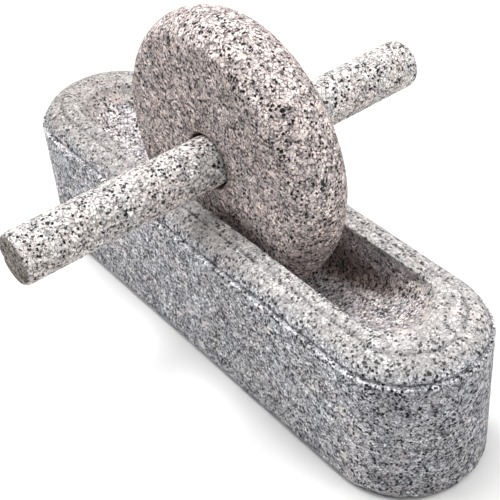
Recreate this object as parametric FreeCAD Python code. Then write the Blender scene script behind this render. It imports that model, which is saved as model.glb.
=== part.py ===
import FreeCAD, Part
import os, math
from FreeCAD import Vector

# Granite trough-and-wheel mill. Three carved stones:
#   trough      boat-shaped block with a curved, U-shaped grinding groove
#   wheel       crowned disc that rolls along the groove
#   handle_rod  round stone axle through the wheel, held at both ends
#
# Frame: +X along the trough, +Y along the axle, +Z up.
# Origin: centre of the trough's flat underside. Millimetres.

os.makedirs("parts", exist_ok=True)

# ---------------- driving dimensions ----------------
TROUGH_LEN = 300.0        # overall length, round end to round end
TROUGH_W = 76.0           # overall width at the top of the body wall
TROUGH_H = 79.0           # underside to the top of the rim
WALL_DRAFT = 0.5          # body is this much narrower per side at the bottom
FOOT_ROUND = 3.0          # rounding of the bottom edge
LEDGE_Z = 69.4            # height of the small ledge below the moulding
LEDGE_W = 2.2             # width of that ledge
LEDGE_ROUND = 1.0         # rounding of the ledge's outer edge
STEP_INSET = 12.0         # inset of the raised rim from the body wall
STEP_H = 1.2              # height of the raised rim above the moulding
RIM_ROUND = 0.8           # rounding of the groove's upper edge

GROOVE_W = 38.0           # groove width between its upright walls
GROOVE_HALF_LEN = 123.0   # centre to the end of the groove at the rim
FLOOR_Z = 35.3            # lowest point of the groove floor
GROOVE_ROUND_H = 12.0     # height of the rounded floor section
GROOVE_SIDE_R = 9.0       # radius where the floor turns up into the walls

WHEEL_R = 68.0            # radius at the top of the crown
WHEEL_T = 32.0            # thickness
CROWN_H = 8.0             # how far the crown stands above the face's edge
CREASE_ROUND = 1.6        # rounding between crown and flat face
WHEEL_GAP = 0.3           # space between crown and groove floor
BORE_ROUND = 0.7          # rounding of the bore's edges

ROD_R = 12.5              # radius of the axle
ROD_NEAR = 118.0          # wheel's middle to the end on the -Y side
ROD_FAR = 106.5           # wheel's middle to the end on the +Y side
ROD_NEAR_ROUND = 2.0
ROD_FAR_ROUND = 4.5
BORE_CLEARANCE = 0.1      # radial space between axle and bore

# ---------------- derived ----------------
DEPTH = TROUGH_H - FLOOR_Z
FLOOR_R = (GROOVE_HALF_LEN ** 2 + DEPTH ** 2) / (2.0 * DEPTH)
FLOOR_CZ = FLOOR_Z + FLOOR_R          # centre of the floor's long arc
WHEEL_Z = FLOOR_Z + WHEEL_GAP + WHEEL_R
END_R = TROUGH_W / 2.0
END_X = TROUGH_LEN / 2.0 - END_R      # centre of each round end


def line(a, b):
    return Part.makeLine(Vector(*a), Vector(*b))


def arc(a, m, b):
    return Part.Arc(Vector(*a), Vector(*m), Vector(*b)).toShape()


def quarter(c, ra, rb, a0, a1, plane):
    """Elliptical arc sampled as a smooth spline, in the given plane."""
    pts = []
    n = 12
    for i in range(n + 1):
        t = math.radians(a0 + (a1 - a0) * i / n)
        pts.append(plane(c[0] + ra * math.cos(t), c[1] + rb * math.sin(t)))
    s = Part.BSplineCurve()
    s.interpolate([Vector(*p) for p in pts])
    return s.toShape()


# ---------------- trough ----------------
def body_profile():
    """Half section of the body, y outwards from the middle, z up."""
    def p(y, z):
        return (0.0, y, z)
    r = END_R
    foot = r - WALL_DRAFT
    c45 = math.cos(math.radians(45))
    e = []
    e.append(line(p(0, 0), p(foot - FOOT_ROUND, 0)))
    e.append(arc(p(foot - FOOT_ROUND, 0),
                 p(foot - FOOT_ROUND + FOOT_ROUND * c45, FOOT_ROUND - FOOT_ROUND * c45),
                 p(foot, FOOT_ROUND)))
    e.append(line(p(foot, FOOT_ROUND), p(r, LEDGE_Z - LEDGE_ROUND)))
    e.append(arc(p(r, LEDGE_Z - LEDGE_ROUND),
                 p(r - LEDGE_ROUND + LEDGE_ROUND * c45, LEDGE_Z - LEDGE_ROUND + LEDGE_ROUND * c45),
                 p(r - LEDGE_ROUND, LEDGE_Z)))
    inner = r - LEDGE_W
    e.append(line(p(r - LEDGE_ROUND, LEDGE_Z), p(inner, LEDGE_Z)))
    step_y = r - STEP_INSET
    step_z = TROUGH_H - STEP_H
    a = inner - step_y
    b = step_z - LEDGE_Z
    e.append(quarter((step_y, LEDGE_Z), a, b, 0, 90, p))
    e.append(line(p(step_y, step_z), p(step_y - 0.3, TROUGH_H - 0.25)))
    e.append(line(p(step_y - 0.3, TROUGH_H - 0.25), p(step_y - 0.6, TROUGH_H)))
    e.append(line(p(step_y - 0.6, TROUGH_H), p(0, TROUGH_H)))
    e.append(line(p(0, TROUGH_H), p(0, 0)))
    return e


prof = Part.Wire(body_profile())
face = Part.Face(prof)

# straight middle: the half section and its mirror image, drawn along X
half = face.copy()
half.translate(Vector(-END_X, 0, 0))
side_a = half.extrude(Vector(2 * END_X, 0, 0))
side_b = side_a.mirror(Vector(0, 0, 0), Vector(0, 1, 0))

# round ends: the half section turned about an upright line
end_face = face.copy()
end_face.translate(Vector(END_X, 0, 0))
end_a = end_face.revolve(Vector(END_X, 0, 0), Vector(0, 0, 1), -180)
end_face = face.copy()
end_face.translate(Vector(-END_X, 0, 0))
end_b = end_face.revolve(Vector(-END_X, 0, 0), Vector(0, 0, 1), 180)

body = side_a.fuse([side_b, end_a, end_b]).removeSplitter()

# the groove: what a round-edged wheel would sweep out, turned about the
# centre of the floor's long arc
hw = GROOVE_W / 2.0
gh = GROOVE_ROUND_H
zc = FLOOR_CZ
zs = zc - FLOOR_R + gh                # where the section's walls turn upright
sr = GROOVE_SIDE_R
sy = hw - sr                          # centre of each side arc
k = (sy ** 2 - (gh - sr) ** 2) / (2.0 * (gh - sr))    # centre of the middle arc
br = k + gh                           # its radius
n = math.hypot(sy, k)
ty, tz = br * sy / n, k - br * k / n  # where the arcs meet, above zs
am = math.atan2(tz, ty - sy) / 2.0    # halfway round a side arc
my, mz = sy + sr * math.cos(am), sr * math.sin(am)
g = []
g.append(line((0, -hw, zc - 60), (0, -hw, zs)))
g.append(arc((0, -hw, zs), (0, -my, zs + mz), (0, -ty, zs + tz)))
g.append(arc((0, -ty, zs + tz), (0, 0, zs - gh), (0, ty, zs + tz)))
g.append(arc((0, ty, zs + tz), (0, my, zs + mz), (0, hw, zs)))
g.append(line((0, hw, zs), (0, hw, zc - 60)))
g.append(line((0, hw, zc - 60), (0, -hw, zc - 60)))
gface = Part.Face(Part.Wire(g))
gface.rotate(Vector(0, 0, zc), Vector(0, 1, 0), -55)
cutter = gface.revolve(Vector(0, 0, zc), Vector(0, 1, 0), 110)
trough = body.cut(cutter).removeSplitter()

# soften the groove's upper edge
rim = []
for ed in trough.Edges:
    bb = ed.BoundBox
    if abs(bb.ZMin - TROUGH_H) < 1e-3 and abs(bb.ZMax - TROUGH_H) < 1e-3:
        if max(abs(bb.YMin), abs(bb.YMax)) < hw + 0.01:
            rim.append(ed)
trough = trough.makeFillet(RIM_ROUND, rim)
if trough.ShapeType != "Solid":
    trough = trough.Solids[0]

# ---------------- wheel ----------------
ht = WHEEL_T / 2.0
rho = (ht ** 2 + CROWN_H ** 2) / (2.0 * CROWN_H)      # crown radius
bore_r = ROD_R + BORE_CLEARANCE
edge_r = WHEEL_R - CROWN_H


def wp(y, r):
    return (0.0, y, WHEEL_Z + r)


w = []
w.append(line(wp(-ht, bore_r), wp(-ht, edge_r)))
w.append(arc(wp(-ht, edge_r), wp(0, WHEEL_R), wp(ht, edge_r)))
w.append(line(wp(ht, edge_r), wp(ht, bore_r)))
w.append(line(wp(ht, bore_r), wp(-ht, bore_r)))
wheel = Part.Face(Part.Wire(w)).revolve(Vector(0, 0, WHEEL_Z), Vector(0, 1, 0), 360)
if wheel.ShapeType != "Solid":
    wheel = wheel.Solids[0] if wheel.Solids else Part.Solid(wheel)
crease, mouth = [], []
for ed in wheel.Edges:
    c = ed.Curve
    if c.TypeId == "Part::GeomCircle" and abs(abs(ed.BoundBox.YMin) - ht) < 1e-3 \
            and abs(ed.BoundBox.YMax - ed.BoundBox.YMin) < 1e-3:
        if abs(c.Radius - edge_r) < 1e-3:
            crease.append(ed)
        elif abs(c.Radius - bore_r) < 1e-3:
            mouth.append(ed)
wheel = wheel.makeFillet(CREASE_ROUND, crease)
wheel = wheel.makeFillet(BORE_ROUND, [e for e in wheel.Edges
                                      if e.Curve.TypeId == "Part::GeomCircle"
                                      and abs(e.Curve.Radius - bore_r) < 1e-3])
if wheel.ShapeType != "Solid":
    wheel = wheel.Solids[0]

# ---------------- handle rod ----------------
rod = Part.makeCylinder(ROD_R, ROD_NEAR + ROD_FAR, Vector(0, -ROD_NEAR, WHEEL_Z), Vector(0, 1, 0))
near = [e for e in rod.Edges if e.Curve.TypeId == "Part::GeomCircle" and e.BoundBox.YMax < -ROD_NEAR + 0.01]
rod = rod.makeFillet(ROD_NEAR_ROUND, near)
far = [e for e in rod.Edges if e.Curve.TypeId == "Part::GeomCircle" and e.BoundBox.YMin > ROD_FAR - 0.01]
rod = rod.makeFillet(ROD_FAR_ROUND, far)
if rod.ShapeType != "Solid":
    rod = rod.Solids[0]

for name, shape in (("trough", trough), ("wheel", wheel), ("handle_rod", rod)):
    assert shape.isValid(), name
    assert len(shape.Solids) == 1, name
    shape.exportStep("parts/%s.step" % name)
    bb = shape.BoundBox
    print("%s volume %.1f cm3  X %.2f %.2f  Y %.2f %.2f  Z %.2f %.2f" % (
        name, shape.Volume / 1000.0, bb.XMin, bb.XMax, bb.YMin, bb.YMax, bb.ZMin, bb.ZMax))
print("floor radius %.3f centre z %.3f wheel z %.3f ratio %.4f" % (FLOOR_R, FLOOR_CZ, WHEEL_Z, FLOOR_R / WHEEL_R))
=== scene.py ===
import math
import bpy
import bmesh
import numpy as np
from mathutils import Matrix, Vector


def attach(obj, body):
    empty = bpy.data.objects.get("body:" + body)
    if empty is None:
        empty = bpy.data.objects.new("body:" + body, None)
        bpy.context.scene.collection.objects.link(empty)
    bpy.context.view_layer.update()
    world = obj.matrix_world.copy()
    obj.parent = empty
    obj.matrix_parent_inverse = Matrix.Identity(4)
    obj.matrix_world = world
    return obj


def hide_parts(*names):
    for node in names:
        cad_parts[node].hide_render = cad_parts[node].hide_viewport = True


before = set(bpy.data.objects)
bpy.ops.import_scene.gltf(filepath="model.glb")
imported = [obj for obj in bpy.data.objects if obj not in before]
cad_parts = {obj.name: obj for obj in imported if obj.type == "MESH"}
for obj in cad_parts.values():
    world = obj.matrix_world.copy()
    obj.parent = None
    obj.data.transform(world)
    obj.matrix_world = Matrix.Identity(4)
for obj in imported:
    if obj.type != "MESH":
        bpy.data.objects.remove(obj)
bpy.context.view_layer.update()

MM = 0.001

# ------------------------------------------------------------------
# sizes of the stones, millimetres, in the frame's own axes
# ------------------------------------------------------------------
END_X = 112.0          # centre of each round end
END_R = 38.0           # half width at the top of the body wall
TOP_Z = 79.0
STEP_R, STEP_Z = 26.0, 77.8
LEDGE_R, LEDGE_Z = 35.8, 69.4
GROOVE_HW = 19.0
FLOOR_Z = 35.3
SEC_H = 12.0
SIDE_R = 9.0
DEPTH = TOP_Z - FLOOR_Z
FLOOR_R = (123.0 ** 2 + DEPTH ** 2) / (2 * DEPTH)
FLOOR_CZ = FLOOR_Z + FLOOR_R
WHEEL_R, WHEEL_T, CROWN_H = 68.0, 32.0, 8.0
WHEEL_Z = FLOOR_Z + 0.3 + WHEEL_R
ROD_R, ROD_NEAR, ROD_FAR = 12.5, 118.0, 106.5


# ------------------------------------------------------------------
# seeded noise on points, used for the hand-dressed relief
# ------------------------------------------------------------------
def _hash(ix, iy, iz, seed):
    with np.errstate(over="ignore"):
        h = (ix.astype(np.uint32) * np.uint32(374761393)
             + iy.astype(np.uint32) * np.uint32(668265263)
             + iz.astype(np.uint32) * np.uint32(2246822519)
             + np.uint32((seed * 3266489917) & 0xFFFFFFFF))
        h = (h ^ (h >> np.uint32(15))) * np.uint32(2246822519)
        h = (h ^ (h >> np.uint32(13))) * np.uint32(3266489917)
        return h ^ (h >> np.uint32(16))


def noise3(p, size, seed):
    """Gradient noise, about -1 to 1, with features of that size in mm."""
    q = p / size
    i = np.floor(q).astype(np.int64)
    f = q - i
    w = f * f * f * (f * (f * 6 - 15) + 10)
    out = np.zeros(len(p))
    for dx in (0, 1):
        for dy in (0, 1):
            for dz in (0, 1):
                h = _hash(i[:, 0] + dx, i[:, 1] + dy, i[:, 2] + dz, seed)
                g = np.stack([(h & np.uint32(1023)), (h >> np.uint32(10)) & np.uint32(1023),
                              (h >> np.uint32(20)) & np.uint32(1023)], 1).astype(float) / 511.5 - 1.0
                d = f - np.array([dx, dy, dz], float)
                wt = ((w[:, 0] if dx else 1 - w[:, 0]) * (w[:, 1] if dy else 1 - w[:, 1])
                      * (w[:, 2] if dz else 1 - w[:, 2]))
                out += (g * d).sum(1) * wt
    return out * 1.25


def relief(co, seed, low=0.30, mid=0.16, fine=0.10, grain=0.05):
    """How far each point lies below the ideal surface, mm, never negative."""
    d = low * np.clip(0.5 + 0.5 * noise3(co, 34.0, seed), 0, 1)
    d += mid * np.clip(0.5 + 0.6 * noise3(co, 9.0, seed + 1), 0, 1)
    d += fine * np.clip(0.5 + 0.7 * noise3(co, 3.6, seed + 2), 0, 1)
    d += grain * np.clip(0.5 + 0.7 * noise3(co, 1.9, seed + 3), 0, 1)
    return d


def chips(co, spots, depth):
    """Small shallow flakes lost from the edges."""
    d = np.zeros(len(co))
    for (c, r, k) in spots:
        near = np.abs(co - c).max(1) < r * 1.6
        idx = np.nonzero(near)[0]
        if not len(idx):
            continue
        v = co[idx] - c
        t = np.sqrt((v * v).sum(1)) / r
        t = t + 0.25 * noise3(co[idx], 1.7, 77)
        d[idx] = np.maximum(d[idx], depth * k * np.clip(1 - t * t, 0, 1))
    return d


# ------------------------------------------------------------------
# mesh helpers
# ------------------------------------------------------------------
def grid_mesh(name, loops, close_u=True):
    """loops: (K, N, 3) in mm. Quads between neighbouring loops, doubles merged."""
    K, N, _ = loops.shape
    idx = np.arange(K * N).reshape(K, N)
    a = idx[:-1]
    b = idx[1:]
    a2 = np.roll(a, -1, axis=1)
    b2 = np.roll(b, -1, axis=1)
    quads = np.stack([a, a2, b2, b], -1).reshape(-1, 4)
    me = bpy.data.meshes.new(name)
    me.from_pydata((loops.reshape(-1, 3)).tolist(), [], quads.tolist())
    bm = bmesh.new()
    bm.from_mesh(me)
    bmesh.ops.remove_doubles(bm, verts=bm.verts, dist=1e-4)
    bmesh.ops.dissolve_degenerate(bm, edges=bm.edges, dist=1e-5)
    bmesh.ops.recalc_face_normals(bm, faces=bm.faces)
    bm.to_mesh(me)
    bm.free()
    me.update()
    return me


def read_co(me):
    co = np.zeros(len(me.vertices) * 3)
    me.vertices.foreach_get("co", co)
    return co.reshape(-1, 3)


def read_no(me):
    no = np.zeros(len(me.vertices) * 3, np.float32)
    me.vertex_normals.foreach_get("vector", no)
    return no.reshape(-1, 3).astype(float)


def finish_mesh(me, sink):
    """Moves each vertex inwards by sink mm, then scales to metres."""
    co = read_co(me)
    no = read_no(me)
    co = (co - no * sink[:, None]) * MM
    me.vertices.foreach_set("co", co.astype(np.float32).ravel())
    me.polygons.foreach_set("use_smooth", np.ones(len(me.polygons), bool))
    me.update()
    me.validate()


def place(name, me, body, node, mat):
    ob = bpy.data.objects.new(name, me)
    bpy.context.scene.collection.objects.link(ob)
    me.materials.clear()
    me.materials.append(mat)
    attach(ob, body)
    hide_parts(node)
    return ob


# ------------------------------------------------------------------
# granite
# ------------------------------------------------------------------
class Nodes:
    """A short way to write shader nodes."""

    def __init__(self, mat):
        mat.use_nodes = True
        self.nt = mat.node_tree
        for n in list(self.nt.nodes):
            self.nt.nodes.remove(n)

    def new(self, kind, **props):
        n = self.nt.nodes.new(kind)
        for k, v in props.items():
            setattr(n, k, v)
        return n

    def put(self, socket, v):
        if isinstance(v, bpy.types.NodeSocket):
            self.nt.links.new(v, socket)
        else:
            socket.default_value = v

    def math(self, op, a, b=None, c=None, clamp=False):
        n = self.new("ShaderNodeMath", operation=op, use_clamp=clamp)
        self.put(n.inputs[0], a)
        if b is not None:
            self.put(n.inputs[1], b)
        if c is not None:
            self.put(n.inputs[2], c)
        return n.outputs[0]

    def vec(self, op, a, b=None, scale=None):
        n = self.new("ShaderNodeVectorMath", operation=op)
        self.put(n.inputs[0], a)
        if b is not None:
            self.put(n.inputs[1], b)
        if scale is not None:
            n.inputs["Scale"].default_value = scale
        return n.outputs["Value"] if op in ("LENGTH", "DOT_PRODUCT", "DISTANCE") else n.outputs["Vector"]

    def step(self, v, lo, hi, a=0.0, b=1.0):
        n = self.new("ShaderNodeMapRange", interpolation_type="SMOOTHSTEP")
        self.put(n.inputs["Value"], v)
        n.inputs["From Min"].default_value = lo
        n.inputs["From Max"].default_value = hi
        n.inputs["To Min"].default_value = a
        n.inputs["To Max"].default_value = b
        return n.outputs["Result"]

    def ramp(self, v, stops, mode="LINEAR"):
        n = self.new("ShaderNodeValToRGB")
        n.color_ramp.interpolation = mode
        el = n.color_ramp.elements
        while len(el) > 1:
            el.remove(el[-1])
        el[0].position = stops[0][0]
        el[0].color = (*stops[0][1], 1)
        for p, c in stops[1:]:
            e = el.new(p)
            e.color = (*c, 1)
        self.put(n.inputs["Fac"], v)
        return n.outputs["Color"]

    def mix(self, fac, a, b, mode="MIX"):
        n = self.new("ShaderNodeMix", data_type="RGBA", blend_type=mode)
        self.put(n.inputs[0], fac)
        self.put(n.inputs[6], a if isinstance(a, bpy.types.NodeSocket) else (*a, 1))
        self.put(n.inputs[7], b if isinstance(b, bpy.types.NodeSocket) else (*b, 1))
        return n.outputs[2]

    def voronoi(self, vec, scale, feature="F1", rnd=1.0):
        n = self.new("ShaderNodeTexVoronoi", feature=feature, voronoi_dimensions="3D")
        self.put(n.inputs["Vector"], vec)
        n.inputs["Scale"].default_value = scale
        n.inputs["Randomness"].default_value = rnd
        return n

    def noise(self, vec, scale, detail=2.0, rough=0.5):
        n = self.new("ShaderNodeTexNoise", noise_dimensions="3D")
        self.put(n.inputs["Vector"], vec)
        n.inputs["Scale"].default_value = scale
        n.inputs["Detail"].default_value = detail
        n.inputs["Roughness"].default_value = rough
        return n


def granite(name, shift, gain, tint, contrast, specks, pink, extra=None, calm=None):
    """Matt dressed granite: a pale ground of feldspar and quartz grains with
    thin darker seams between them, and black mica specks.

    shift moves the pattern so that each stone is cut from another place,
    gain scales its brightness, specks is the share of mica cells.
    """
    mat = bpy.data.materials.new(name)
    N = Nodes(mat)
    tc = N.new("ShaderNodeTexCoord")
    p = N.vec("SCALE", tc.outputs["Object"], scale=760.0)
    p = N.vec("ADD", p, shift)

    def grey(v):
        n = N.new("ShaderNodeCombineColor")
        for k in range(3):
            N.put(n.inputs[k], v)
        return n.outputs[0]

    def split(v):
        n = N.new("ShaderNodeSeparateColor")
        N.put(n.inputs[0], v)
        return n.outputs

    # grain outlines are irregular
    w1 = N.noise(p, 0.95, 3.0, 0.65)
    warp = N.vec("SCALE", N.vec("SUBTRACT", w1.outputs["Color"], (0.5, 0.5, 0.5)), scale=1.7)
    pw = N.vec("ADD", p, warp)

    # pale and grey grains, cells of about 3 mm
    v1 = N.voronoi(pw, 0.46)
    c1 = split(v1.outputs["Color"])
    k = contrast
    felsic = N.ramp(c1[0], [
        (0.00, (0.470 - 0.16 * k, 0.462 - 0.16 * k, 0.462 - 0.15 * k)),
        (0.18, (0.485 - 0.08 * k, 0.472 - 0.08 * k, 0.468 - 0.08 * k)),
        (0.45, (0.500, 0.478, 0.468)),
        (0.75, (0.515 + 0.06 * k, 0.495 + 0.06 * k, 0.480 + 0.06 * k)),
        (0.92, (0.530 + 0.16 * k, 0.512 + 0.16 * k, 0.500 + 0.15 * k)),
        (1.00, (0.550 + 0.28 * k, 0.535 + 0.28 * k, 0.520 + 0.27 * k)),
    ])
    # smaller grains between them, cells of about 1.3 mm
    v2 = N.voronoi(N.vec("ADD", pw, (31.7, 12.9, 7.3)), 1.05)
    c2 = split(v2.outputs["Color"])
    small = N.math("MULTIPLY_ADD", c2[1], 0.56 * k, 1.0 - 0.30 * k)
    col = N.mix(1.0, felsic, grey(small), "MULTIPLY")

    # thin seams, darker, that come and go
    ve = N.voronoi(N.vec("ADD", pw, (4.4, -8.2, 19.0)), 0.70, "DISTANCE_TO_EDGE")
    n6 = N.noise(p, 0.5, 2.0, 0.6)
    wide = N.step(n6.outputs["Fac"], 0.36, 0.64, 0.05, 0.22)
    near = N.math("DIVIDE", ve.outputs["Distance"], wide)
    seam = N.step(near, 0.35, 0.90, 0.55 - 0.35 * k, 1.0)
    col = N.mix(1.0, col, grey(seam), "MULTIPLY")

    # fine mottling inside the grains
    n2 = N.noise(p, 1.55, 3.0, 0.7)
    mott = N.step(n2.outputs["Fac"], 0.34, 0.66, 1.0 - 0.30 * k, 1.0 + 0.22 * k)
    col = N.mix(1.0, col, grey(mott), "MULTIPLY")

    # broad drift between warm and cool stone, and soft clouds
    n3 = N.noise(p, 0.06, 2.0, 0.5)
    drift = N.step(n3.outputs["Fac"], 0.36, 0.64)
    tone = N.mix(drift, (1.015, 0.99, 0.982), (0.985, 0.995, 1.01))
    col = N.mix(1.0, col, tone, "MULTIPLY")
    n4 = N.noise(p, 0.19, 3.0, 0.55)
    cloud = N.step(n4.outputs["Fac"], 0.3, 0.7, 0.96, 1.04)
    col = N.mix(1.0, col, grey(cloud), "MULTIPLY")

    # rare pink, cream and white feldspar crystals, in cells of about 7 mm
    v4 = N.voronoi(N.vec("ADD", pw, (5.1, 61.0, 23.0)), 0.20)
    c4 = split(v4.outputs["Color"])
    chosen = N.step(c4[0], 1.0 - pink, 1.0 - pink + 0.01)
    body = N.step(v4.outputs["Distance"], 0.52, 0.30)
    big = N.math("MULTIPLY", chosen, body)
    pcol = N.ramp(c4[1], [(0.0, (0.62, 0.50, 0.47)), (0.45, (0.66, 0.57, 0.53)),
                          (0.75, (0.76, 0.72, 0.66)), (1.0, (0.66, 0.60, 0.48))])
    col = N.mix(N.math("MULTIPLY", big, 0.62), col, pcol)

    if calm is not None:
        col = calm(N, tc.outputs["Object"], col)

    # black mica: small specks of about 1.5 mm, some larger, frayed outlines
    n5 = N.noise(p, 2.1, 2.0, 0.5)
    fray = N.math("MULTIPLY_ADD", n5.outputs["Fac"], 0.44, -0.22)
    n7 = N.noise(p, 0.12, 2.0, 0.6)
    crowd = N.math("MULTIPLY_ADD", n7.outputs["Fac"], 0.16 * specks / 0.2, -0.08 * specks / 0.2)

    def mica(offset, scale, share, lo, hi):
        v = N.voronoi(N.vec("ADD", pw, offset), scale)
        c = split(v.outputs["Color"])
        sh = N.math("SUBTRACT", c[0], crowd)
        pick = N.step(sh, share, share - 0.012)
        rag = N.math("ADD", v.outputs["Distance"], fray)
        return N.math("MULTIPLY", pick, N.step(rag, hi, lo)), c

    m1, k1 = mica((-17.3, 44.0, 3.9), 0.86, specks * 1.15, 0.45, 0.50)
    m2, k2 = mica((91.0, 4.0, -37.9), 0.50, specks * 0.15, 0.36, 0.40)
    m3, k3 = mica((71.0, -9.0, 15.0), 1.15, specks * 0.50, 0.44, 0.50)
    shade = N.ramp(k1[2], [(0.0, (0.004, 0.004, 0.004)), (0.7, (0.009, 0.009, 0.010)),
                           (1.0, (0.040, 0.038, 0.040))])
    col = N.mix(N.math("MULTIPLY", m3, 0.95), col, (0.028, 0.026, 0.026))
    col = N.mix(N.math("MULTIPLY", m2, 0.97), col, (0.012, 0.012, 0.014))
    col = N.mix(m1, col, shade)

    tcol = (tint[0] * gain, tint[1] * gain, tint[2] * gain)
    col = N.mix(1.0, col, tcol, "MULTIPLY")
    if extra is not None:
        col = extra(N, tc.outputs["Object"], col)

    bsdf = N.new("ShaderNodeBsdfPrincipled")
    N.put(bsdf.inputs["Base Color"], col)
    bsdf.inputs["Specular IOR Level"].default_value = 0.16
    bsdf.inputs["IOR"].default_value = 1.5
    # quartz grains are a little glossier than the rest
    rough = N.step(c1[2], 0.72, 0.95, 0.90, 0.62)
    rough = N.math("ADD", rough, N.math("MULTIPLY", m1, -0.15))
    N.put(bsdf.inputs["Roughness"], rough)

    # relief: each grain stands at its own height, mica is plucked out
    h = N.math("MULTIPLY", c1[1], 0.45)
    h = N.math("ADD", h, N.math("MULTIPLY", c2[0], 0.40))
    h = N.math("ADD", h, N.math("MULTIPLY", n2.outputs["Fac"], 0.9))
    h = N.math("ADD", h, N.math("MULTIPLY", seam, 0.5))
    h = N.math("SUBTRACT", h, N.math("MULTIPLY", m1, 0.8))
    bump = N.new("ShaderNodeBump")
    bump.inputs["Strength"].default_value = 0.60
    bump.inputs["Distance"].default_value = 0.00020
    N.put(bump.inputs["Height"], h)
    N.put(bsdf.inputs["Normal"], bump.outputs["Normal"])
    out = N.new("ShaderNodeOutputMaterial")
    N.nt.links.new(bsdf.outputs[0], out.inputs["Surface"])
    return mat


def trough_tone_and_painted_shade(N, obj, col):
    """Tones over the trough, set by measured brightness. Painted shade: dark steep
    sides in the groove, dark lines in the crease and under the step, darker round
    end walls, a darker foot toward the floor and a darker top toward -X. Painted
    light: the stone below the rim lighter and cooler than the top, and a painted
    highlight on the ledge's edge, which also stands for paler worn stone there.
    A warm groove and an even rim are tones as well; whether the warm groove is
    stone or soil on the real object is not known."""
    mm = N.vec("SCALE", obj, scale=1000.0)
    x = N.new("ShaderNodeSeparateXYZ")
    N.put(x.inputs[0], mm)
    ax = N.math("ABSOLUTE", x.outputs[0])
    ay = N.math("ABSOLUTE", x.outputs[1])
    z = x.outputs[2]
    past = N.math("MAXIMUM", N.math("SUBTRACT", ax, END_X), 0.0)
    r = N.math("SQRT", N.math("ADD", N.math("MULTIPLY", past, past), N.math("MULTIPLY", ay, ay)))
    uneven = N.noise(mm, 0.35, 2.0, 0.6)

    def times(c, fac, rgb):
        return N.mix(1.0, c, N.mix(fac, (1.0, 1.0, 1.0), rgb), "MULTIPLY")

    def line(r0, z0, inner, outer):
        dr = N.math("SUBTRACT", r, r0)
        dz = N.math("SUBTRACT", z, z0)
        d = N.math("SQRT", N.math("ADD", N.math("MULTIPLY", dr, dr), N.math("MULTIPLY", dz, dz)))
        d = N.math("ADD", d, N.math("MULTIPLY_ADD", uneven.outputs["Fac"], 0.6, -0.3))
        return N.step(d, outer, inner)

    top = N.step(z, 70.5, 76.5)
    inside = N.math("MULTIPLY", N.step(ax, 126.5, 124.5), N.step(ay, 20.5, 19.0))
    inside = N.math("MULTIPLY", inside, N.step(z, 10.0, 20.0))
    inside = N.math("MULTIPLY", inside, N.step(z, 79.6, 71.0))
    # Painted light: below the rim the stone, groove included, is painted lighter and bluer, as a cool fill light
    # makes it, and the rim's top darker.
    col = N.mix(1.0, col, N.mix(top, (1.045, 1.085, 1.150), (0.910, 0.910, 0.920)), "MULTIPLY")
    col = times(col, inside, (1.13, 1.06, 1.03))
    # Painted shade: the steep sides of the groove are painted dark, lower down.
    steep = N.math("MULTIPLY", inside, N.step(ay, 12.0, 17.5))
    col = times(col, N.math("MULTIPLY", steep, N.step(z, 74.0, 58.0)), (0.38, 0.325, 0.30))
    only_top = N.math("MULTIPLY", top, N.math("SUBTRACT", 1.0, inside))
    col = N.mix(N.math("MULTIPLY", only_top, 0.13), col, (0.50, 0.485, 0.478))
    # Painted shade: the top toward -X is painted darker, to offset the strong light from -X.
    left_top_shade = N.math("MULTIPLY", N.step(x.outputs[0], -60.0, -125.0), N.step(z, 66.0, 74.0))
    col = times(col, left_top_shade, (0.80, 0.785, 0.765))
    # Painted shade: a dark line in the crease above the ledge.
    col = times(col, line(LEDGE_R + 0.1, LEDGE_Z + 0.2, 0.35, 1.10), (0.46, 0.45, 0.46))
    # Painted shade: a dark line under the step.
    col = times(col, line(STEP_R + 0.25, STEP_Z + 0.1, 0.35, 0.95), (0.20, 0.20, 0.21))
    # Painted highlight along the ledge's outer edge, which also stands for paler worn stone there.
    col = times(col, line(END_R - 0.6, LEDGE_Z - 0.3, 0.5, 1.4), (1.20, 1.20, 1.19))
    # Painted shade: the round end walls are painted darker.
    end_wall_shade = N.math("MULTIPLY", N.step(past, 6.0, 24.0), N.step(z, 72.0, 66.0))
    col = times(col, end_wall_shade, (0.73, 0.73, 0.735))
    # Painted shade: the stone is painted darker toward the floor, in patches.
    foot = N.step(z, 30.0, 2.0)
    n = N.noise(mm, 0.05, 2.0, 0.5)
    foot = N.math("MULTIPLY", foot, N.step(n.outputs["Fac"], 0.3, 0.7, 0.4, 1.0))
    return times(col, foot, (0.84, 0.84, 0.84))


def rim_calm(N, obj, col):
    """On the rim the ground between the mica specks is more even."""
    x = N.new("ShaderNodeSeparateXYZ")
    N.put(x.inputs[0], obj)
    top = N.step(x.outputs[2], 0.0700, 0.0765)
    return N.mix(N.math("MULTIPLY", top, 0.32), col, (0.400, 0.386, 0.380))


def wheel_bore_shade(N, obj, col):
    """Painted shade: darker round the mouth of the bore, where the rod goes in, set by measured brightness."""
    mm = N.vec("SCALE", obj, scale=1000.0)
    x = N.new("ShaderNodeSeparateXYZ")
    N.put(x.inputs[0], mm)
    dz = N.math("SUBTRACT", x.outputs[2], WHEEL_Z)
    r = N.math("SQRT", N.math("ADD", N.math("MULTIPLY", x.outputs[0], x.outputs[0]), N.math("MULTIPLY", dz, dz)))
    n = N.noise(mm, 0.3, 2.0, 0.6)
    r = N.math("ADD", r, N.math("MULTIPLY_ADD", n.outputs["Fac"], 0.8, -0.4))
    dark = N.step(r, ROD_R + 2.3, ROD_R + 1.3)
    halo = N.step(r, ROD_R + 9.0, ROD_R + 2.0)
    col = N.mix(1.0, col, N.mix(halo, (1.0, 1.0, 1.0), (0.84, 0.81, 0.78)), "MULTIPLY")
    return N.mix(1.0, col, N.mix(dark, (1.0, 1.0, 1.0), (0.25, 0.22, 0.21)), "MULTIPLY")


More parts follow.
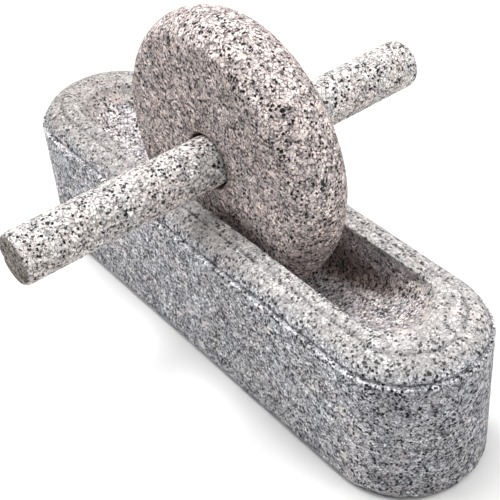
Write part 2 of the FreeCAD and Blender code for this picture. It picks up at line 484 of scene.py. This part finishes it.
def rod_cap_darkening(N, obj, col):
    """The flat near end is darker than the side, set by measured brightness."""
    x = N.new("ShaderNodeSeparateXYZ")
    N.put(x.inputs[0], obj)
    cap = N.step(x.outputs[1], -ROD_NEAR / 1000 + 0.0012, -ROD_NEAR / 1000 + 0.0004)
    return N.mix(1.0, col, N.mix(cap, (1.0, 1.0, 1.0), (0.50, 0.475, 0.445)), "MULTIPLY")


mat_trough = granite("granite_trough", (3.0, 11.0, 5.0), 1.38, (1.0, 1.0, 1.005), 0.80, 0.25, 0.11, trough_tone_and_painted_shade, rim_calm)
mat_wheel = granite("granite_wheel", (213.0, -57.0, 91.0), 1.38, (1.08, 0.98, 0.965), 0.80, 0.25, 0.03, wheel_bore_shade)
mat_rod = granite("granite_rod", (-141.0, 77.0, -33.0), 1.50, (1.01, 1.0, 0.995), 0.62, 0.25, 0.01, rod_cap_darkening)


# ------------------------------------------------------------------
# trough
# ------------------------------------------------------------------
def groove_drop(y):
    """Height of the groove's cross-section above its middle, at offset y."""
    y = np.abs(y)
    sy = GROOVE_HW - SIDE_R
    k = (sy ** 2 - (SEC_H - SIDE_R) ** 2) / (2 * (SEC_H - SIDE_R))
    br = k + SEC_H
    ty = br * sy / math.hypot(sy, k)
    mid = br - np.sqrt(np.maximum(br ** 2 - y ** 2, 0))
    side = SEC_H - np.sqrt(np.maximum(SIDE_R ** 2 - np.clip(y - sy, 0, SIDE_R) ** 2, 0))
    return np.where(y < ty, mid, side)


def groove_z(x, y):
    return FLOOR_CZ - np.sqrt((FLOOR_R - groove_drop(y)) ** 2 - x ** 2)


def arc_pts(c, r, a0, a1, n, rz=None):
    rz = r if rz is None else rz
    t = np.radians(np.linspace(a0, a1, n))
    return [(c[0] + r * math.cos(s), c[1] + rz * math.sin(s)) for s in t]


def spread(a, b, step):
    """Points after a, up to and with b, no further apart than step."""
    n = max(1, int(math.ceil(math.hypot(b[0] - a[0], b[1] - a[1]) / step)))
    return [(a[0] + (b[0] - a[0]) * i / n, a[1] + (b[1] - a[1]) * i / n) for i in range(1, n + 1)]


def trough_profile():
    """(r, z) from the raised rim's outer edge, down to the middle of the base."""
    p = [(STEP_R - 1.9, TOP_Z), (STEP_R - 1.35, TOP_Z - 0.04), (STEP_R - 0.9, TOP_Z - 0.16),
         (STEP_R - 0.55, TOP_Z - 0.42), (STEP_R - 0.3, TOP_Z - 0.85), (STEP_R - 0.1, STEP_Z - 0.22)]
    p += [(STEP_R + 0.35, STEP_Z - 0.25)]
    m = arc_pts((STEP_R, LEDGE_Z), LEDGE_R - STEP_R, 84, 4, 17, STEP_Z - LEDGE_Z)
    p += m
    p[-1] = (LEDGE_R - 0.10, LEDGE_Z + 0.75)
    p += [(LEDGE_R - 0.32, LEDGE_Z + 0.12), (LEDGE_R - 0.26, LEDGE_Z - 0.42), (LEDGE_R + 0.12, LEDGE_Z - 0.46),
          (LEDGE_R + 0.42, LEDGE_Z - 0.08), (END_R - 1.0, LEDGE_Z - 0.04)]
    p += arc_pts((END_R - 1.0, LEDGE_Z - 1.0), 1.0, 72, 0, 4)
    p += spread(p[-1], (END_R - 0.47, 4.0), 1.45)
    p += arc_pts((END_R - 3.9, 3.4), 3.4, 0, -90, 8)[1:]
    p += spread(p[-1], (0.0, 0.0), 6.0)
    return np.array(p)


def trough_mesh():
    ns, ne = 190, 84
    xs = np.linspace(-END_X, END_X, ns + 1)
    cx, nx, ny = [], [], []
    for t in np.radians(np.linspace(-90, 90, ne + 1))[:-1]:
        cx.append(END_X); nx.append(math.cos(t)); ny.append(math.sin(t))
    for x in xs[::-1][:-1]:
        cx.append(x); nx.append(0.0); ny.append(1.0)
    for t in np.radians(np.linspace(-90, 90, ne + 1))[::-1][:-1]:
        cx.append(-END_X); nx.append(-math.cos(t)); ny.append(math.sin(t))
    for x in xs[:-1]:
        cx.append(x); nx.append(0.0); ny.append(-1.0)
    cx, nx, ny = np.array(cx), np.array(nx), np.array(ny)
    n = len(cx)

    # outline of the groove's mouth
    xw = math.sqrt((FLOOR_R - SEC_H) ** 2 - (FLOOR_CZ - TOP_Z) ** 2)
    oy = GROOVE_HW * ny
    end = np.abs(nx) > 1e-9
    at = np.clip(cx / END_X, -1, 1) * xw
    ox = np.where(np.abs(cx) >= END_X - 1e-9,
                  np.sign(cx) * np.sqrt((FLOOR_R - groove_drop(oy)) ** 2 - (FLOOR_CZ - TOP_Z) ** 2), at)
    # paths down into the groove
    fr = np.sin(np.linspace(math.pi / 2, 0, 121))        # 1 at the wall, 0 at the middle
    path = np.zeros((n, 60 + 121, 3))
    for u in range(n):
        if abs(cx[u]) < END_X - 1e-9:
            x = ox[u]
            zb = FLOOR_CZ - math.sqrt((FLOOR_R - SEC_H) ** 2 - x ** 2)
            zz = np.linspace(TOP_Z, zb, 61)[:-1]
            path[u, :60] = np.stack([np.full(60, x), np.full(60, oy[u]), zz], 1)
            y = oy[u] * fr
            path[u, 60:] = np.stack([np.full(121, x), y, groove_z(x, y)], 1)
        else:
            sx = math.copysign(xw, cx[u])
            f2 = np.concatenate([np.linspace(1, fr[1], 61)[:-1], fr])
            f2[60] = fr[0]
            f2 = np.sort(np.unique(f2))[::-1]
            px = sx + (ox[u] - sx) * f2
            py = oy[u] * f2
            pp = np.stack([px, py, groove_z(px, py)], 1)
            if len(pp) < path.shape[1]:
                pp = np.vstack([pp, np.repeat(pp[-1:], path.shape[1] - len(pp), 0)])
            path[u] = pp[:path.shape[1]]
    seg = np.sqrt((np.diff(path, axis=1) ** 2).sum(2))
    cum = np.concatenate([np.zeros((n, 1)), np.cumsum(seg, 1)], 1)
    e = 1.25                                              # rounding of the mouth
    ng = 42
    groove = np.zeros((ng + 1, n, 3))
    for u in range(n):
        tt = np.linspace(0, 1, ng + 1)
        s = e + (cum[u, -1] - e) * (0.75 * tt + 0.25 * tt * tt)
        for k in range(3):
            groove[:, u, k] = np.interp(s, cum[u], path[u, :, k])
    groove[-1, :, 1] = 0.0

    prof = trough_profile()
    outer = np.zeros((len(prof), n, 3))
    for i, (r, z) in enumerate(prof):
        outer[i, :, 0] = cx + r * nx
        outer[i, :, 1] = r * ny
        outer[i, :, 2] = z
    # flat rim from the mouth out to the step
    E = np.stack([ox, oy, np.full(n, TOP_Z)], 1)
    T = outer[0]
    dirn = T - E
    ln = np.sqrt((dirn ** 2).sum(1, keepdims=True))
    A = E + dirn / ln * e
    B = groove[0]
    rim = [A + (T - A) * t for t in np.linspace(1, 0, 9)[1:]]
    bez = [(1 - t) ** 2 * A + 2 * t * (1 - t) * E + t * t * B for t in np.linspace(0, 1, 7)[1:-1]]
    loops = np.concatenate([outer[::-1], np.array(rim), np.array(bez), groove], 0)
    return grid_mesh("trough_stone", loops)


def edge_spots(rng, count, fn, lo, hi):
    out = []
    for _ in range(count):
        out.append((np.array(fn(rng), float), rng.uniform(lo, hi), rng.uniform(0.4, 1.0)))
    return out


def stadium_point(rng, r, z):
    per = 4 * END_X + 2 * math.pi * r
    s = rng.uniform(0, per)
    if s < 2 * END_X:
        return (s - END_X, -r, z)
    s -= 2 * END_X
    if s < math.pi * r:
        a = s / r - math.pi / 2
        return (END_X + r * math.cos(a), r * math.sin(a), z)
    s -= math.pi * r
    if s < 2 * END_X:
        return (END_X - s, r, z)
    s -= 2 * END_X
    a = s / r + math.pi / 2
    return (-END_X + r * math.cos(a), r * math.sin(a), z)


rng = np.random.RandomState(41)
me = trough_mesh()
co = read_co(me)
spots = edge_spots(rng, 60, lambda g: stadium_point(g, 25.2, 78.9), 0.8, 2.2)
spots += edge_spots(rng, 70, lambda g: stadium_point(g, 37.8, 69.0), 0.8, 2.4)
spots += edge_spots(rng, 50, lambda g: stadium_point(g, 36.8, 1.2), 1.0, 3.0)
spots += edge_spots(rng, 46, lambda g: (g.uniform(-100, 100), g.choice([-19.2, 19.2]), 78.8), 0.8, 2.0)
sink = relief(co, 11, 0.30, 0.20, 0.14, 0.06) + chips(co, spots, 0.9)
sink *= np.where(co[:, 2] < 0.05, 0.25, 1.0)
finish_mesh(me, sink)
trough = place("trough_stone", me, "trough", "trough", mat_trough)


# ------------------------------------------------------------------
# wheel
# ------------------------------------------------------------------
def turned(name, prof, n, zc):
    """prof: (y, r) points, turned about the line x = 0, z = zc."""
    t = np.linspace(0, 2 * math.pi, n, endpoint=False)
    loops = np.zeros((len(prof), n, 3))
    for i, (y, r) in enumerate(prof):
        loops[i, :, 0] = r * np.sin(t)
        loops[i, :, 1] = y
        loops[i, :, 2] = zc + r * np.cos(t)
    return loops


def wheel_mesh():
    ht = WHEEL_T / 2
    rho = (ht ** 2 + CROWN_H ** 2) / (2 * CROWN_H)
    a = math.degrees(math.asin(ht / rho))
    er = WHEEL_R - CROWN_H
    bore = ROD_R + 0.45
    # half section on the -Y side: bore, its rounded mouth, face, crease, crown
    half = [(-y, bore) for y in np.linspace(0, ht - 1.6, 8)]
    half += [(-(ht - 1.6) - 1.6 * math.sin(s), bore + 1.3 * (1 - math.cos(s))) for s in np.linspace(0.2, math.pi / 2, 7)]
    half += [(-ht, r) for r in np.linspace(bore + 1.3, er - 1.5, 37)[1:]]
    # crease softened by about 1 mm
    A = np.array((-ht, er - 1.5))
    E = np.array((-ht, er))
    th = math.radians(90 + a - 3.4)
    B = np.array((rho * math.cos(th), WHEEL_R - rho + rho * math.sin(th)))
    for t in np.linspace(0, 1, 8)[1:]:
        half.append(tuple((1 - t) ** 2 * A + 2 * t * (1 - t) * E + t * t * B))
    for t in np.linspace(a - 3.4, 0, 19)[1:]:
        s = math.radians(90 + t)
        half.append((rho * math.cos(s), WHEEL_R - rho + rho * math.sin(s)))
    half = np.array(half)
    other = half[::-1].copy()
    other[:, 0] *= -1
    prof = np.vstack([half, other[1:]])
    loops = turned("wheel", prof, 372, WHEEL_Z)
    return grid_mesh("wheel_stone", loops)


me = wheel_mesh()
co = read_co(me)


def ring_point(g, r, y):
    t = g.uniform(0, 2 * math.pi)
    return (r * math.sin(t), y, WHEEL_Z + r * math.cos(t))


spots = edge_spots(rng, 60, lambda g: ring_point(g, 59.6, g.choice([-15.9, 15.9])), 1.0, 2.6)
spots += edge_spots(rng, 16, lambda g: ring_point(g, 13.4, g.choice([-15.9, 15.9])), 0.8, 1.5)
sink = relief(co, 31, 0.34, 0.20, 0.14, 0.06) + chips(co, spots, 0.9)
rr = np.hypot(co[:, 0], co[:, 2] - WHEEL_Z)
sink *= np.where((rr < 13.2) & (np.abs(co[:, 1]) < 14.0), 0.2, 1.0)
finish_mesh(me, sink)
wheel = place("wheel_stone", me, "wheel", "wheel", mat_wheel)


# ------------------------------------------------------------------
# handle rod
# ------------------------------------------------------------------
def rod_mesh():
    p = [(-ROD_NEAR, 0.0)]
    p += [(-ROD_NEAR, r) for r in np.linspace(0, ROD_R - 2.2, 11)[1:]]
    p += [(-ROD_NEAR + 2.2 * (1 - math.cos(s)), ROD_R - 2.2 + 2.2 * math.sin(s)) for s in np.linspace(0, math.pi / 2, 8)[1:]]
    p += [(y, ROD_R) for y in np.linspace(-ROD_NEAR + 2.2, ROD_FAR - 4.6, 206)[1:]]
    p += [(ROD_FAR - 4.6 + 4.6 * math.sin(s), ROD_R - 4.6 + 4.6 * math.cos(s)) for s in np.linspace(0, math.pi / 2, 9)[1:]]
    p += [(ROD_FAR, r) for r in np.linspace(ROD_R - 4.6, 0, 9)[1:]]
    loops = turned("rod", np.array(p), 84, WHEEL_Z)
    return grid_mesh("rod_stone", loops)


me = rod_mesh()
co = read_co(me)
spots = edge_spots(rng, 12, lambda g: (lambda t: (11.9 * math.sin(t), -117.4, WHEEL_Z + 11.9 * math.cos(t)))(g.uniform(0, 6.283)), 1.0, 2.2)
sink = relief(co, 51, 0.22, 0.16, 0.12, 0.05) + chips(co, spots, 0.8)
finish_mesh(me, sink)
rod = place("rod_stone", me, "handle_rod", "handle_rod", mat_rod)

# ------------------------------------------------------------------
# floor, light, camera
# ------------------------------------------------------------------
fm = bpy.data.meshes.new("floor")
g = 24
fv = [((i / g - 0.5) * 6.0, (j / g - 0.5) * 6.0, -0.0003) for j in range(g + 1) for i in range(g + 1)]
ff = [(j * (g + 1) + i, j * (g + 1) + i + 1, (j + 1) * (g + 1) + i + 1, (j + 1) * (g + 1) + i) for j in range(g) for i in range(g)]
fm.from_pydata(fv, [], ff)
floor = bpy.data.objects.new("floor", fm)
bpy.context.scene.collection.objects.link(floor)
fmat = bpy.data.materials.new("floor_pale")
FN = Nodes(fmat)
ftc = FN.new("ShaderNodeTexCoord")
fno = FN.noise(ftc.outputs["Object"], 3.0, 2.0, 0.5)
fcol = FN.ramp(fno.outputs["Fac"], [(0.3, (0.865, 0.865, 0.865)), (0.7, (0.885, 0.885, 0.885))])
fb = FN.new("ShaderNodeBsdfPrincipled")
FN.put(fb.inputs["Base Color"], fcol)
fb.inputs["Roughness"].default_value = 0.9
fb.inputs["Specular IOR Level"].default_value = 0.1
fo = FN.new("ShaderNodeOutputMaterial")
FN.nt.links.new(fb.outputs[0], fo.inputs["Surface"])
fm.materials.append(fmat)

world = bpy.data.worlds.new("studio")
bpy.context.scene.world = world
world.use_nodes = True
bg = world.node_tree.nodes["Background"]
bg.inputs["Color"].default_value = (0.96, 0.98, 1.0, 1)
bg.inputs["Strength"].default_value = 0.06


def area(name, loc, aim, size, power, color=(1, 1, 1)):
    ld = bpy.data.lights.new(name, "AREA")
    ld.shape = "DISK"
    ld.size = size
    ld.energy = power
    ld.color = color
    lo = bpy.data.objects.new(name, ld)
    bpy.context.scene.collection.objects.link(lo)
    lo.location = loc
    lo.rotation_euler = (Vector(aim) - Vector(loc)).to_track_quat("-Z", "Y").to_euler()
    return lo


area("key_top", (0.0, 0.0, 1.45), (0, 0, 0.05), 0.5, 9.6, (1.0, 0.99, 0.98))
area("key_back_right", (0.64, 0.64, 1.12), (0, 0, 0.05), 0.9, 9.0, (1.0, 0.99, 0.98))
area("key_left", (-0.90, 0.0, 1.12), (0, 0, 0.05), 0.7, 12.2, (1.0, 0.99, 0.98))
area("fill_front_left", (-0.64, -0.64, 1.12), (0, 0, 0.05), 0.9, 7.2)
area("fill_right", (0.90, 0.0, 1.12), (0, 0, 0.05), 0.9, 5.2, (1.0, 0.99, 0.98))

az, el, roll = math.radians(55.18), math.radians(39.74), math.radians(-5.35)
back = Vector((math.sin(az) * math.cos(el), -math.cos(az) * math.cos(el), math.sin(el)))
pos = Vector((-0.02737, 0.02196, 0.01255)) + back * 0.64573
fwd = -back
right = fwd.cross(Vector((0, 0, 1))).normalized()
up = right.cross(fwd)
r2 = right * math.cos(roll) + up * math.sin(roll)
u2 = up * math.cos(roll) - right * math.sin(roll)
cd = bpy.data.cameras.new("camera")
cd.sensor_fit = "HORIZONTAL"
cd.sensor_width = 36.0
cd.lens = 1220.08 / 500 * 36.0
cd.clip_start = 0.01
cd.clip_end = 50
cam = bpy.data.objects.new("camera", cd)
bpy.context.scene.collection.objects.link(cam)
m = Matrix((r2, u2, back)).transposed().to_4x4()
m.translation = pos
cam.matrix_world = m
bpy.context.scene.camera = cam

vs = bpy.context.scene.view_settings
vs.view_transform = "Standard"
vs.look = "None"
vs.exposure = 0.0
vs.gamma = 1.0
